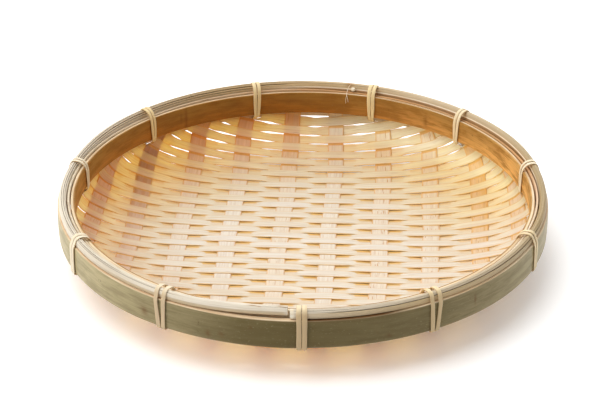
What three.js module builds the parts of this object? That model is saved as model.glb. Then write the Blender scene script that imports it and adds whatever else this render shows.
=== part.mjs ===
import * as THREE from 'three';

// Round bamboo soba basket in millimetres, +Z up, standing on z = 0.
// Flat ribs (warps) run along Y and narrow strips (wefts) along X. The woven mat curves up at its edge,
// is gripped between two hoops, covered by a round-topped splint and tied by lashings of two turns each.

const degree = Math.PI / 180;

// Overall size and the gaps kept between neighbouring pieces and between crossing strips
const rimDiameter = 210;
const clearance = 0.3;
const weaveGap = 0.4;

// Woven mat: the strips and the dish they are bent into
const warp = { perSide: 5, edgeStep: 18, width: 7.6, thickness: 0.7, laneReach: 33 };
const weft = { rows: 44, slit: 0.5, thickness: 0.55, ease: 0.6, turnWidth: 2.5 };
const endRows = { frontPaired: 10, backPaired: 8, backSingle: 2, lanes: 2 };
const dish = { flatRadius: 48, kneeRise: 10.5, kneeSlope: 36 * degree, bendRadius: 8.8 };

// Rim: hoop heights are counted from the foot of the upright wall of the mat
const outerHoop = { thickness: 2.4, height: 12.6, drop: 3.4, lapFrom: 273.2 * degree, lapAngle: 26 * degree };
const innerHoop = { thickness: 1.7, height: 10.3, lift: 0.7, lapFrom: 48 * degree, lapAngle: 26 * degree };
const hoopLap = { tip: 0.4, ramp: 3 * degree, steps: 6 };
const matSink = 2;
const cover = { width: 3.5, side: 1.4, crown: 2.1, ends: 270.2 * degree, endGap: 1.2 };
const filler = { rise: 0.8, ends: 95 * degree, endGap: 1 };

// Lashings: places around the rim, in degrees from +X
const lashing = { width: 2.2, thickness: 0.6, spread: 0.8 };
const lashingPlaces = [14, 47, 74, 106, 138, 170, 209, 241, 273, 303, 339];

// Fineness of the curves
const ringSteps = 64;
const coverSteps = 4;
const chordError = 0.14;
const walkStep = 0.25;
const edgeSteps = 8;
const edgeChange = 0.8;
const leastShare = 0.3;
const holeSteps = 60;

// Mat thickness and rim radii
const weaveLift = warp.thickness / 2 + weaveGap + weft.thickness / 2;
const matHalf = weaveLift + weft.thickness / 2;
const outerFace = rimDiameter / 2;
const outerHoopInner = outerFace - outerHoop.thickness;
const innerHoopOuter = outerHoopInner - 2 * (matHalf + clearance);
const innerFace = innerHoopOuter - innerHoop.thickness;
const wallRadius = (outerHoopInner + innerHoopOuter) / 2;

// Half section of the mat's middle surface: flat, gentle rise, tight bend, upright wall
const kneeRadius = wallRadius - dish.bendRadius * (1 - Math.sin(dish.kneeSlope));
const bendRise = dish.kneeRise + dish.bendRadius * Math.cos(dish.kneeSlope);
const wallFoot = matHalf + bendRise;
const hoopBottom = wallFoot - outerHoop.drop;
const hoopTop = hoopBottom + outerHoop.height;
const innerBottom = wallFoot + innerHoop.lift;
const innerTop = innerBottom + innerHoop.height;
const matTop = hoopTop - matSink;

const flatEnd = new THREE.Vector2(dish.flatRadius, 0);
const riseTurn = new THREE.Vector2(kneeRadius - dish.kneeRise / Math.tan(dish.kneeSlope), 0);
const knee = new THREE.Vector2(kneeRadius, dish.kneeRise);
const wallStart = new THREE.Vector2(wallRadius, bendRise);
const wallEnd = new THREE.Vector2(wallRadius, matTop - matHalf);
const bendFrom = dish.kneeSlope - Math.PI / 2;
const bendX = wallRadius - dish.bendRadius;

const profile = new THREE.CurvePath();
profile.add(new THREE.LineCurve(new THREE.Vector2(0, 0), flatEnd));
profile.add(new THREE.QuadraticBezierCurve(flatEnd, riseTurn, knee));
profile.add(new THREE.EllipseCurve(bendX, bendRise, dish.bendRadius, dish.bendRadius, bendFrom, 0));
profile.add(new THREE.LineCurve(wallStart, wallEnd));

// Distances from the middle of the mat, measured along it
const kneeReach = profile.getCurveLengths()[1];
const matReach = profile.getLength();

// Middle line of a lashing, half a thickness and a gap off the rim, and where it passes through the mat
const lashingOff = clearance + lashing.thickness / 2;
const lashingPitch = lashing.width + clearance;
const lashingLow = hoopBottom - lashingOff;
const lashingOutside = new THREE.Vector2(outerFace + lashingOff, lashingLow);
const lashingUnder = new THREE.Vector2(outerHoopInner - lashingOff, lashingLow);
const lashingInside = new THREE.Vector2(innerFace - lashingOff, innerBottom - lashingOff);
const holeHalf = lashingPitch / 2 + lashing.width / 2 + 3 * clearance;

function holeSlopes() {
  const slopes = [];
  for (const [from, to] of [[lashingInside, lashingUnder], [lashingUnder, lashingOutside]]) {
    for (let i = 0; i <= holeSteps; i += 1) {
      const point = from.clone().lerp(to, i / holeSteps);
      const [outward, downward] = [point.x - bendX, wallFoot - point.y];
      if (Math.abs(Math.hypot(outward, downward) - dish.bendRadius) < matHalf + lashingOff) {
        slopes.push(Math.atan2(outward, downward));
      }
    }
  }
  const margin = lashingOff / (dish.bendRadius - matHalf);
  return [Math.min(...slopes) - margin, Math.max(...slopes) + margin];
}

const [holeFrom, holeTo] = holeSlopes().map((slope) => {
  return kneeReach + dish.bendRadius * (slope - dish.kneeSlope);
});

// Rows fill the mat up to the place where the lashings pass through it
const weftPitch = (2 * holeFrom + weft.slit - clearance) / weft.rows;
const weftWidth = weftPitch - weft.slit;

// Point of the mat: a flat place bent into the dish, with a lift along the upward normal
function onMat(along, across, lift) {
  const reach = Math.hypot(along, across);
  const share = Math.min(reach / matReach, 1);
  const place = profile.getPoint(share);
  const slope = profile.getTangent(share);
  const scale = reach > 0 ? (place.x - lift * slope.y) / reach : 1;
  return new THREE.Vector3(along * scale, across * scale, matHalf + place.y + lift * slope.x);
}

// Point of the rim from angle, radius and height
function onRim(angle, radius, height) {
  return new THREE.Vector3(radius * Math.cos(angle), radius * Math.sin(angle), height);
}

// Faces across the end of a ring, taken from both sides by turns
function endFaces(size) {
  const faces = [];
  let [low, high] = [0, size - 1];
  while (low + 1 < high) {
    faces.push([low, low + 1, high]);
    low += 1;
    if (low + 1 < high) {
      faces.push([low, high - 1, high]);
      high -= 1;
    }
  }
  return faces;
}

// Closed skin over a run of equal rings of points
function skin(rings) {
  const size = rings[0].length;
  const points = rings.flat();
  const last = points.length - size;
  const faces = [];
  for (let k = 0; k < last; k += 1) {
    const next = k % size === size - 1 ? k + 1 - size : k + 1;
    faces.push(k, next, next + size);
    faces.push(k, next + size, k + size);
  }
  for (const [a, b, c] of endFaces(size)) {
    faces.push(c, b, a);
    faces.push(last + a, last + b, last + c);
  }
  let volume = 0;
  for (let k = 0; k < faces.length; k += 3) {
    const [a, b, c] = [points[faces[k]], points[faces[k + 1]], points[faces[k + 2]]];
    volume += a.dot(b.clone().cross(c));
  }
  if (volume < 0) {
    faces.reverse();
  }
  const geometry = new THREE.BufferGeometry().setFromPoints(points);
  geometry.setIndex(faces);
  geometry.computeVertexNormals();
  return geometry;
}

// Flat strip of the mat over stations of two side points and a lift, in a few lanes across its width
function strip(stations, thickness, lanes) {
  const shares = Array.from({ length: lanes + 1 }, (value, index) => index / lanes);
  const rings = stations.map(({ inner, outer, lift }) => {
    const place = (share, side) => onMat(
      inner[0] + share * (outer[0] - inner[0]),
      inner[1] + share * (outer[1] - inner[1]),
      lift + side * thickness / 2,
    );
    const below = shares.map((share) => place(share, -1));
    const above = shares.map((share) => place(share, 1));
    return [...below, ...above.reverse()];
  });
  return skin(rings);
}

// Extra stops between two stops until the chord follows the curve
function between(pointAt, from, to) {
  const middle = (from + to) / 2;
  const chord = pointAt(from).add(pointAt(to)).multiplyScalar(0.5);
  if (pointAt(middle).distanceTo(chord) < chordError) {
    return [to];
  }
  return [...between(pointAt, from, middle), ...between(pointAt, middle, to)];
}

function follow(pointAt, stops) {
  const places = [stops[0]];
  for (let i = 1; i < stops.length; i += 1) {
    places.push(...between(pointAt, stops[i - 1], stops[i]));
  }
  return places;
}

// Hole in the mat where a lashing passes through it
function inHole(along, across) {
  const reach = Math.hypot(along, across);
  if (reach < holeFrom || reach > holeTo) {
    return false;
  }
  const angle = Math.atan2(across, along);
  return lashingPlaces.some((place) => {
    const apart = angle - place * degree;
    const turn = Math.atan2(Math.sin(apart), Math.cos(apart));
    return Math.abs(turn) * wallRadius < holeHalf;
  });
}

// Outer edge of a strip, pulled in beside a hole; none where too little of the strip is left
function outerEdge([innerX, innerY], [outerX, outerY]) {
  if (Math.max(Math.hypot(innerX, innerY), Math.hypot(outerX, outerY)) > matReach) {
    return null;
  }
  let free = 0;
  for (let i = 0; i <= edgeSteps; i += 1) {
    const share = i / edgeSteps;
    if (inHole(innerX + share * (outerX - innerX), innerY + share * (outerY - innerY))) {
      break;
    }
    free = share;
  }
  if (free < leastShare) {
    return null;
  }
  return [innerX + free * (outerX - innerX), innerY + free * (outerY - innerY)];
}

// Walk along a strip from the middle line outwards: its length and the stops at which its edge changes
function walk(edgesAt, side) {
  const widthAt = (length) => {
    const [inner, outer] = edgesAt(side * length);
    const edge = outerEdge(inner, outer);
    return edge ? Math.hypot(edge[0] - inner[0], edge[1] - inner[1]) : 0;
  };
  const stops = [];
  let length = 0;
  let width = widthAt(length);
  let next = widthAt(length + walkStep);
  while (next > 0) {
    if (Math.abs(next - width) > edgeChange) {
      stops.push(side * length, side * (length + walkStep));
      width = next;
    }
    length += walkStep;
    next = widthAt(length + walkStep);
  }
  return { length, stops };
}

// Stations over stops in rising order, with the sides named by the edge nearer the middle of the mat
function stationsOver(stops, edgesAt, liftAt) {
  const middleAt = (place) => {
    const [inner, outer] = edgesAt(place);
    return onMat((inner[0] + outer[0]) / 2, (inner[1] + outer[1]) / 2, liftAt(place));
  };
  return follow(middleAt, stops).map((place) => {
    const [inner, outer] = edgesAt(place);
    return { inner, outer: outerEdge(inner, outer), lift: liftAt(place) };
  });
}

// Stops in rising order, without near doubles
function ordered(stops) {
  const sorted = [...stops].sort((a, b) => a - b);
  return sorted.filter((stop, index) => index === 0 || stop - sorted[index - 1] > walkStep / 2);
}

// Warps: an outermost pair at the foot of the bend, a shorter step inside it, the rest evenly spaced
const crossing = warp.width / 2 + weft.ease;
const edgePlace = kneeReach - warp.width / 2;
const warpPitch = (edgePlace - warp.edgeStep) / (warp.perSide - 1.5);
const warpPlaces = [-edgePlace, edgePlace];
for (let i = 0; i + 1 < warp.perSide; i += 1) {
  const place = (i + 0.5) * warpPitch;
  warpPlaces.push(-place, place);
}
warpPlaces.sort((a, b) => a - b);

function warpStrip(place) {
  const half = Math.sign(place) * warp.width / 2;
  const edgesAt = (across) => [[place - half, across], [place + half, across]];
  const [near, far] = [walk(edgesAt, -1), walk(edgesAt, 1)];
  const stops = ordered([-near.length, ...near.stops, 0, ...far.stops, far.length]);
  const lanes = Math.ceil(Math.abs(place) / warp.laneReach);
  return strip(stationsOver(stops, edgesAt, () => 0), warp.thickness, lanes);
}

// Wefts: each row goes over and under the warps by turns, neighbouring rows the other way round
function rowPlace(row) {
  return (row - (weft.rows - 1) / 2) * weftPitch;
}

function liftOf(row, along) {
  const knots = [];
  warpPlaces.forEach((place, index) => {
    const lift = (row + index) % 2 === 0 ? weaveLift : -weaveLift;
    knots.push([place - crossing, lift], [place + crossing, lift]);
  });
  const next = knots.findIndex((knot) => knot[0] >= along);
  if (next === 0) {
    return knots[0][1];
  }
  if (next < 0) {
    return knots[knots.length - 1][1];
  }
  const [before, after] = [knots[next - 1], knots[next]];
  const share = (along - before[0]) / (after[0] - before[0]);
  return before[1] + share * (after[1] - before[1]);
}

function rowEdges(row) {
  const across = rowPlace(row);
  const half = Math.sign(across) * weftWidth / 2;
  return (along) => [[along, across - half], [along, across + half]];
}

// Stations of one row from one place to another
function rowStations(row, from, to) {
  const edgesAt = rowEdges(row);
  const stops = [from, to];
  for (const side of [-1, 1]) {
    stops.push(...walk(edgesAt, side).stops);
  }
  for (const place of warpPlaces) {
    stops.push(place - crossing, place + crossing);
  }
  const kept = ordered(stops.filter((stop) => stop >= from && stop <= to));
  return stationsOver(kept, edgesAt, (along) => liftOf(row, along));
}

function rowEnd(row, side) {
  return walk(rowEdges(row), side).length;
}

function singleRow(row, lanes) {
  return strip(rowStations(row, -rowEnd(row, -1), rowEnd(row, 1)), weft.thickness, lanes);
}

// Where two rows may be turned into each other on one side, clear of the warps
function turnPlace(row, side) {
  let place = Math.min(rowEnd(row, side), rowEnd(row + 1, side)) - weft.turnWidth;
  for (const warpPlace of warpPlaces.map((value) => side * value).sort((a, b) => b - a)) {
    const from = warpPlace - crossing;
    if (place + weft.turnWidth > from && place < warpPlace + crossing + weft.ease) {
      place = from - weft.turnWidth;
    }
  }
  const inner = Math.min(Math.abs(rowPlace(row)), Math.abs(rowPlace(row + 1)));
  return { place, reach: Math.hypot(place, inner) };
}

// Station with its first side turned towards the line between two rows
function facingRow({ inner, outer, lift }, middle) {
  const turned = Math.abs(inner[1] - middle) > Math.abs(outer[1] - middle);
  return turned ? { inner: outer, outer: inner, lift } : { inner, outer, lift };
}

// Two short rows made from one strip, turned back inside the rim
function turnedRows(row) {
  const turns = { left: turnPlace(row, -1), right: turnPlace(row, 1) };
  const side = turns.right.reach >= turns.left.reach ? 1 : -1;
  const place = side > 0 ? turns.right.place : turns.left.place;
  const near = place - weft.ease;
  const legs = [row, row + 1].map((each) => {
    const open = rowEnd(each, -side);
    return side > 0 ? rowStations(each, -open, near) : rowStations(each, -near, open).reverse();
  });
  const middle = (rowPlace(row) + rowPlace(row + 1)) / 2;
  const corners = [row, row + 1].map((each) => {
    const facing = Math.sign(middle - rowPlace(each)) * weftWidth / 2;
    const inner = [side * place, rowPlace(each) + facing];
    const outer = [side * (place + weft.turnWidth), rowPlace(each) - facing];
    return { inner, outer, lift: liftOf(each, side * place) };
  });
  const first = legs[0].map((station) => facingRow(station, middle));
  const second = legs[1].map((station) => facingRow(station, middle)).reverse();
  return strip([...first, ...corners, ...second], weft.thickness, endRows.lanes);
}

// Hoop bent from one splint, its first end lapped outside its last, both thinned
function hoop(inner, outer, bottom, top, { lapFrom, lapAngle }) {
  const lapDepth = (share) => outer - hoopLap.tip - share * (outer - inner - 2 * hoopLap.tip);
  const lapShares = Array.from({ length: hoopLap.steps + 1 }, (value, index) => index / hoopLap.steps);
  const from = lapAngle + hoopLap.ramp;
  const to = 2 * Math.PI - hoopLap.ramp;
  const stations = lapShares.map((share) => [share * lapAngle, lapDepth(share) + clearance / 2, outer]);
  for (let i = 0; i <= ringSteps; i += 1) {
    stations.push([from + (i / ringSteps) * (to - from), inner, outer]);
  }
  for (const share of lapShares) {
    stations.push([2 * Math.PI + share * lapAngle, inner, lapDepth(share) - clearance / 2]);
  }
  const rings = stations.map(([turn, near, far]) => {
    const corners = [[near, bottom], [far, bottom], [far, top], [near, top]];
    return corners.map(([radius, height]) => onRim(lapFrom + turn, radius, height));
  });
  return skin(rings);
}

// Open ring of one section of radius and height pairs, with a small gap between its ends
function splint(section, { ends, endGap }) {
  const gap = endGap / wallRadius;
  const rings = [];
  for (let i = 0; i <= ringSteps; i += 1) {
    const angle = ends + gap / 2 + (i / ringSteps) * (2 * Math.PI - gap);
    rings.push(section.map(([radius, height]) => onRim(angle, radius, height)));
  }
  return skin(rings);
}

// Cover: flat underneath, rounded on top, lying on the outer hoop
const coverOuter = outerFace - clearance;
const coverInner = coverOuter - cover.width;
const coverBottom = hoopTop + clearance;
const coverSide = coverBottom + cover.side;
const coverTop = coverSide + cover.crown;

function coverSection() {
  const section = [[coverInner, coverBottom], [coverOuter, coverBottom]];
  for (let i = 0; i <= coverSteps; i += 1) {
    const turn = (i / coverSteps) * Math.PI;
    const radius = (coverInner + coverOuter + cover.width * Math.cos(turn)) / 2;
    section.push([radius, coverSide + cover.crown * Math.sin(turn)]);
  }
  return section;
}

// Filler: thin splint on edge between the inner hoop and the cover
const fillerInner = innerHoopOuter + clearance;
const fillerOuter = coverInner - clearance;
const fillerBottom = matTop + clearance;
const fillerTop = innerTop + filler.rise;

function fillerSection() {
  return [
    [fillerInner, fillerBottom],
    [fillerOuter, fillerBottom],
    [fillerOuter, fillerTop],
    [fillerInner, fillerTop],
  ];
}

// Lashing: two turns round the rim, shifting sideways where the strip passes through the mat
function lashingStrip(place) {
  const crownRadius = (coverInner + coverOuter) / 2;
  const narrow = lashingPitch / 2;
  const wide = narrow + lashing.spread / 2;
  const dome = [0, 45, 90, 135].map((angle) => [
    crownRadius + (cover.width / 2 + lashingOff) * Math.cos(angle * degree),
    coverSide + (cover.crown + lashingOff) * Math.sin(angle * degree),
    wide,
  ]);
  const turn = [
    [lashingOutside.x, lashingLow, narrow],
    [lashingOutside.x, hoopTop + lashingOff, wide],
    ...dome,
    [innerHoopOuter, fillerTop + lashingOff, wide],
    [lashingInside.x, innerTop + clearance, wide],
    [lashingInside.x, lashingInside.y, narrow],
  ];
  const path = [
    [(lashingUnder.x + lashingOutside.x) / 2, lashingLow, -narrow],
    ...turn.map(([radius, height, shift]) => [radius, height, -shift]),
    [lashingUnder.x, lashingLow, narrow],
    ...turn,
  ];
  const rings = path.map(([radius, height, shift], index) => {
    const before = path[Math.max(index - 1, 0)];
    const after = path[Math.min(index + 1, path.length - 1)];
    const into = new THREE.Vector2(radius - before[0], height - before[1]).normalize();
    const onward = new THREE.Vector2(after[0] - radius, after[1] - height).normalize();
    const heading = into.clone().add(onward).normalize();
    const half = lashing.thickness / 2 / Math.max(into.dot(heading), onward.dot(heading));
    const corners = [[-1, -1], [1, -1], [1, 1], [-1, 1]];
    return corners.map(([side, out]) => {
      const angle = place * degree + (shift + side * lashing.width / 2) / wallRadius;
      return onRim(angle, radius + out * half * heading.y, height - out * half * heading.x);
    });
  });
  return skin(rings);
}

// Surfaces
const greenSkin = new THREE.MeshStandardMaterial({ color: 0x8f8862, roughness: 0.5, metalness: 0 });
const brownSkin = new THREE.MeshStandardMaterial({ color: 0xa8743a, roughness: 0.55, metalness: 0 });
const paleSkin = new THREE.MeshStandardMaterial({ color: 0xc9c0a2, roughness: 0.5, metalness: 0 });
const fillerWood = new THREE.MeshStandardMaterial({ color: 0xd8c29a, roughness: 0.6, metalness: 0 });
const warpWood = new THREE.MeshStandardMaterial({ color: 0xeddab6, roughness: 0.6, metalness: 0 });
const weftWood = new THREE.MeshStandardMaterial({ color: 0xf3e2c0, roughness: 0.6, metalness: 0 });
const lashingWood = new THREE.MeshStandardMaterial({ color: 0xe4d0a8, roughness: 0.55, metalness: 0 });

const basket = new THREE.Group();

function addPiece(name, geometry, material) {
  const mesh = new THREE.Mesh(geometry, material);
  mesh.name = name;
  basket.add(mesh);
}

function numbered(index) {
  return String(index + 1).padStart(2, '0');
}

addPiece('outer_hoop', hoop(outerHoopInner, outerFace, hoopBottom, hoopTop, outerHoop), greenSkin);
addPiece('inner_hoop', hoop(innerFace, innerHoopOuter, innerBottom, innerTop, innerHoop), brownSkin);
addPiece('rim_cover', splint(coverSection(), cover), paleSkin);
addPiece('rim_filler', splint(fillerSection(), filler), fillerWood);

warpPlaces.forEach((place, index) => {
  addPiece(`warp_${numbered(index)}`, warpStrip(place), warpWood);
});

const backSingleFrom = weft.rows - endRows.backSingle;
const backPairedFrom = backSingleFrom - endRows.backPaired;
let row = 0;
while (row < weft.rows) {
  const paired = row < endRows.frontPaired || (row >= backPairedFrom && row < backSingleFrom);
  if (paired) {
    addPiece(`weft_${numbered(row)}_${numbered(row + 1)}`, turnedRows(row), weftWood);
    row += 2;
  } else {
    const lanes = row < backSingleFrom ? 1 : endRows.lanes;
    addPiece(`weft_${numbered(row)}`, singleRow(row, lanes), weftWood);
    row += 1;
  }
}

lashingPlaces.forEach((place, index) => {
  addPiece(`lashing_${numbered(index)}`, lashingStrip(place), lashingWood);
});

export default basket;
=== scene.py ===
import math

import bpy
import numpy as np
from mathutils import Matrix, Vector


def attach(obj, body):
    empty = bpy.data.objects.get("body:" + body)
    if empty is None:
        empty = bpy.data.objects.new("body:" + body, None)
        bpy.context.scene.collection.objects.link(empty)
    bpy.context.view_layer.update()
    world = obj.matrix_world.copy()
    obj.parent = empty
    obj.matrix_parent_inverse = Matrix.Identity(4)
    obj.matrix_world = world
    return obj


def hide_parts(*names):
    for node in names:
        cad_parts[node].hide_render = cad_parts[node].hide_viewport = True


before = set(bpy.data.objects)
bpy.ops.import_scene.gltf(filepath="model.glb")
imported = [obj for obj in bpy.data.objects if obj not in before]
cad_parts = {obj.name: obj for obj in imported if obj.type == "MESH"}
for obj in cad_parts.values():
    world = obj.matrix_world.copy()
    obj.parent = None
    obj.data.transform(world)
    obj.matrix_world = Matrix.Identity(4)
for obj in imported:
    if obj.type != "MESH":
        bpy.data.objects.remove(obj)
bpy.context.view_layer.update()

mm = 0.001  # shapes are worked out in millimetres and put into the meshes in metres
scene = bpy.context.scene
print("frame loaded:", len(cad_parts), "solids")


# Camera: the photograph's place and lens

photoCamera = dict(
    distance=798.1, height=452.4, tilt=28.43, turn=3.24, pan=0.1, pictureFocus=2100 / 612, sensorWidth=36,
    clip=(0.02, 20))


def addCamera(values):
    turn, pan, tilt = (math.radians(values[key]) for key in ("turn", "pan", "tilt"))
    data = bpy.data.cameras.new("photoCamera")
    data.sensor_width = values["sensorWidth"]
    data.lens = values["pictureFocus"] * data.sensor_width
    data.clip_start, data.clip_end = values["clip"]
    camera = bpy.data.objects.new("photoCamera", data)
    right, back = values["distance"] * math.sin(turn), -values["distance"] * math.cos(turn)
    camera.location = (right * mm, back * mm, values["height"] * mm)
    camera.rotation_euler = (math.pi / 2 - tilt, 0, turn - pan)
    scene.collection.objects.link(camera)
    scene.camera = camera


addCamera(photoCamera)


# Mesh tools

sharpAngle = 55  # degrees: edges that turn more than this stay crisp
# what the materials read at each point, and how many numbers it has
# one of them carries painted shade: in the gaps and wedges of the weave, along the lashings' edges and on the
# front lashings, and in the cover's splits
pointData = dict(fibre=3, tone=3, skin=1, paintedShade=1, wall=1)


def wander(along, size, wave, seed):
    # smooth waviness: three sines of falling height and rising pace, with drawn phases
    phases = np.random.default_rng(seed).uniform(0, 2 * np.pi, 3)
    paces = np.array([1.0, 2.3, 4.1]) * 2 * np.pi / wave
    heights = np.array([0.6, 0.28, 0.12]) * size
    return (heights * np.sin(np.multiply.outer(along, paces) + phases)).sum(-1)


def smoothStep(low, high, value):
    share = np.clip((value - low) / (high - low), 0, 1)
    return share * share * (3 - 2 * share)


def between(span, value):
    # rises from the first to the second of four places and falls from the third to the fourth
    start, full, fade, stop = span
    return smoothStep(start, full, value) * smoothStep(stop, fade, value)


def flatOval(points, power):
    # superellipse |a|^power + |b|^power = 1, as many points round it
    turn = 2 * np.pi * np.arange(points) / points
    cosine, sine = np.cos(turn), np.sin(turn)
    return np.sign(cosine) * np.abs(cosine) ** (2 / power), np.sign(sine) * np.abs(sine) ** (2 / power)


def gridFaces(rows, columns, first):
    # quads between neighbouring rings of a closed section, and one face over each end
    index = first + np.arange(rows * columns).reshape(rows, columns)
    following = np.roll(index, -1, axis=1)
    quads = np.stack([index[:-1], following[:-1], following[1:], index[1:]], -1).reshape(-1, 4)
    return quads, index[0][::-1], index[-1]


def putPiece(name, shells, material, node):
    # shells: dictionaries of ring points (rings, section points, 3) in millimetres and their point data
    points, quads, caps, first = [], [], [], 0
    for shell in shells:
        grid = shell["points"]
        rows, columns = grid.shape[:2]
        faces, startCap, endCap = gridFaces(rows, columns, first)
        flat = grid.reshape(-1, 3)
        corner = flat[faces - first]
        volume = np.einsum("ij,ij->", corner[:, 0], np.cross(corner[:, 1], corner[:, 2]))
        volume += np.einsum("ij,ij->", corner[:, 0], np.cross(corner[:, 2], corner[:, 3]))
        if volume < 0:
            faces, startCap, endCap = faces[:, ::-1], startCap[::-1], endCap[::-1]
        points.append(flat)
        quads.append(faces)
        caps += [startCap, endCap]
        first += len(flat)
    points = np.concatenate(points)
    quads = np.concatenate(quads)
    mesh = bpy.data.meshes.new(name)
    mesh.from_pydata((points * mm).tolist(), [], quads.tolist() + [cap.tolist() for cap in caps])
    for key, width in pointData.items():
        kind, field = ("FLOAT_VECTOR", "vector") if width == 3 else ("FLOAT", "value")
        values = np.concatenate([np.broadcast_to(shell.get(key, 0.0), shell["points"].shape[:2] + (width,))
                                 .reshape(-1, width) for shell in shells])
        mesh.attributes.new(key, kind, "POINT").data.foreach_set(field, values.astype(np.float32).ravel())
    mesh.polygons.foreach_set("use_smooth", np.ones(len(mesh.polygons), bool))
    mesh.set_sharp_from_angle(angle=math.radians(sharpAngle))
    mesh.update()
    mesh.validate()
    mesh.materials.append(material)
    piece = bpy.data.objects.new(name, mesh)
    scene.collection.objects.link(piece)
    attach(piece, "root")
    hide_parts(node)


# Node tools

def addNode(tree, kind, settings=None, inputs=None):
    node = tree.nodes.new("ShaderNode" + kind)
    for key, value in (settings or {}).items():
        setattr(node, key, value)
    for key, value in (inputs or {}).items():
        if isinstance(value, bpy.types.NodeSocket):
            tree.links.new(value, node.inputs[key])
        else:
            node.inputs[key].default_value = value
    return node


def sums(tree, operation, *terms):
    return addNode(tree, "Math", {"operation": operation}, dict(enumerate(terms))).outputs[0]


def times(tree, first, second):
    return sums(tree, "MULTIPLY", first, second)


def stretched(tree, vector, stretch):
    return addNode(tree, "VectorMath", {"operation": "MULTIPLY"}, {0: vector, 1: stretch}).outputs[0]


def ranged(tree, value, low, high, lowTo=0.0, highTo=1.0):
    inputs = {"Value": value, "From Min": low, "From Max": high, "To Min": lowTo, "To Max": highTo}
    return addNode(tree, "MapRange", {"interpolation_type": "SMOOTHSTEP"}, inputs).outputs[0]


def tinted(tree, share, first, second):
    colours = {0: share}
    for key, colour in ((6, first), (7, second)):
        colours[key] = colour if isinstance(colour, bpy.types.NodeSocket) else (*colour, 1)
    return addNode(tree, "Mix", {"data_type": "RGBA", "clamp_factor": True}, colours).outputs[2]


def layered(tree, colour, look, masks):
    # each named tint of the look laid over the colour, as strong as its mask times its own share
    for key, mask in masks.items():
        tint, share = look[key]
        colour = tinted(tree, times(tree, mask, share), colour, tint)
    return colour


def noiseOn(tree, vector, stretch, detail, roughness):
    # noise over the straightened strip: stretch gives cells per millimetre along, across and through it
    place = stretched(tree, vector, stretch)
    inputs = {"Vector": place, "Scale": 1.0, "Detail": detail, "Roughness": roughness}
    return addNode(tree, "TexNoise", {"noise_dimensions": "3D"}, inputs).outputs[0]


def newGroup(name, amount, outputs):
    # a group that reads the place along the fibre and one amount, and puts out values
    tree = bpy.data.node_groups.new(name, "ShaderNodeTree")
    tree.interface.new_socket(name="Fibre", in_out="INPUT", socket_type="NodeSocketVector")
    tree.interface.new_socket(name=amount, in_out="INPUT", socket_type="NodeSocketFloat")
    for label in outputs:
        tree.interface.new_socket(name=label, in_out="OUTPUT", socket_type="NodeSocketFloat")
    return tree, tree.nodes.new("NodeGroupInput").outputs, tree.nodes.new("NodeGroupOutput").inputs


# Fibre: fine lengthwise lines, broader streaks and short dark dashes of split bamboo
# noises: stretch, detail and roughness; ranges: where a mask begins and is full

fibreNoises = dict(
    Lines=((0.03, 1, 0.6), 3, 0.6), Streaks=((0.012, 0.22, 0.2), 2, 0.5),
    Dashes=((0.16, 1.3, 0.6), 1, 0.4), Rough=((0.2, 1.6, 1), 2, 0.6))
fibreRanges = dict(Lines=(0.36, 0.68), Streaks=(0.32, 0.7), Dashes=(0.62, 0.72))
fibreRough = 0.35


def makeFibreGroup():
    tree, given, out = newGroup("bambooFibre", "Lines", [*fibreRanges, "Height"])
    paces = addNode(tree, "CombineXYZ", {}, {0: 1.0, 1: given["Lines"], 2: given["Lines"]}).outputs[0]
    place = stretched(tree, given["Fibre"], paces)
    noises = {key: noiseOn(tree, place, *values) for key, values in fibreNoises.items()}
    for key, span in fibreRanges.items():
        tree.links.new(ranged(tree, noises[key], *span), out[key])
    tree.links.new(sums(tree, "MULTIPLY_ADD", noises["Rough"], fibreRough, noises["Lines"]), out["Height"])
    return tree


# Culm skin: cloudy mottling, pale flecks, dark specks and lengthwise scratches of the outside of a cane

skinNoises = dict(
    Clouds=((0.07, 0.34, 0.3), 4, 0.62), Grain=((0.12, 2.2, 1), 2, 0.6), Flecks=((0.9, 1.8, 1), 2, 0.5),
    Specks=((0.28, 0.45, 0.4), 3, 0.6), Scratches=((0.04, 1.5, 1), 1, 0.5))
skinRanges = dict(Flecks=(0.62, 0.76), Specks=(0.69, 0.76), Scratches=(0.72, 0.79))
skinClouds = dict(range=(0.5, 0.74), grain=0.22, fleckHeight=0.3)


def makeSkinGroup():
    tree, given, out = newGroup("bambooSkin", "Cloud", ["Cloud", *skinRanges, "Height"])
    noises = {key: noiseOn(tree, given["Fibre"], *values) for key, values in skinNoises.items()}
    clouds = sums(tree, "MULTIPLY_ADD", noises["Grain"], skinClouds["grain"], noises["Clouds"])
    tree.links.new(times(tree, ranged(tree, clouds, *skinClouds["range"]), given["Cloud"]), out["Cloud"])
    for key, span in skinRanges.items():
        tree.links.new(ranged(tree, noises[key], *span), out[key])
    height = sums(tree, "MULTIPLY_ADD", noises["Flecks"], skinClouds["fleckHeight"], noises["Grain"])
    tree.links.new(height, out["Height"])
    return tree


fibreGroup = makeFibreGroup()
skinGroup = makeSkinGroup()
reliefDepths = dict(split=0.12, skin=0.1)


def startMaterial(name):
    material = bpy.data.materials.new(name)
    material.use_nodes = True
    return material, material.node_tree, material.node_tree.nodes["Principled BSDF"]


def read(tree, key):
    output = "Vector" if pointData[key] == 3 else "Fac"
    return addNode(tree, "Attribute", {"attribute_name": key}).outputs[output]


def useGroup(tree, group, fibre, key, amount):
    return addNode(tree, "Group", {"node_tree": group}, {"Fibre": fibre, key: amount}).outputs


def finishSurface(tree, shader, look, colour, rough, height, depth):
    # colour, roughness between smooth and coarse, gloss and a fine relief
    tree.links.new(colour, shader.inputs["Base Color"])
    tree.links.new(ranged(tree, rough, 0, 1, look["smooth"], look["coarse"]), shader.inputs["Roughness"])
    shader.inputs["Specular IOR Level"].default_value = look["gloss"]
    bump = addNode(tree, "Bump", {}, {"Height": height, "Strength": look["relief"], "Distance": depth * mm})
    tree.links.new(bump.outputs[0], shader.inputs["Normal"])


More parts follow.
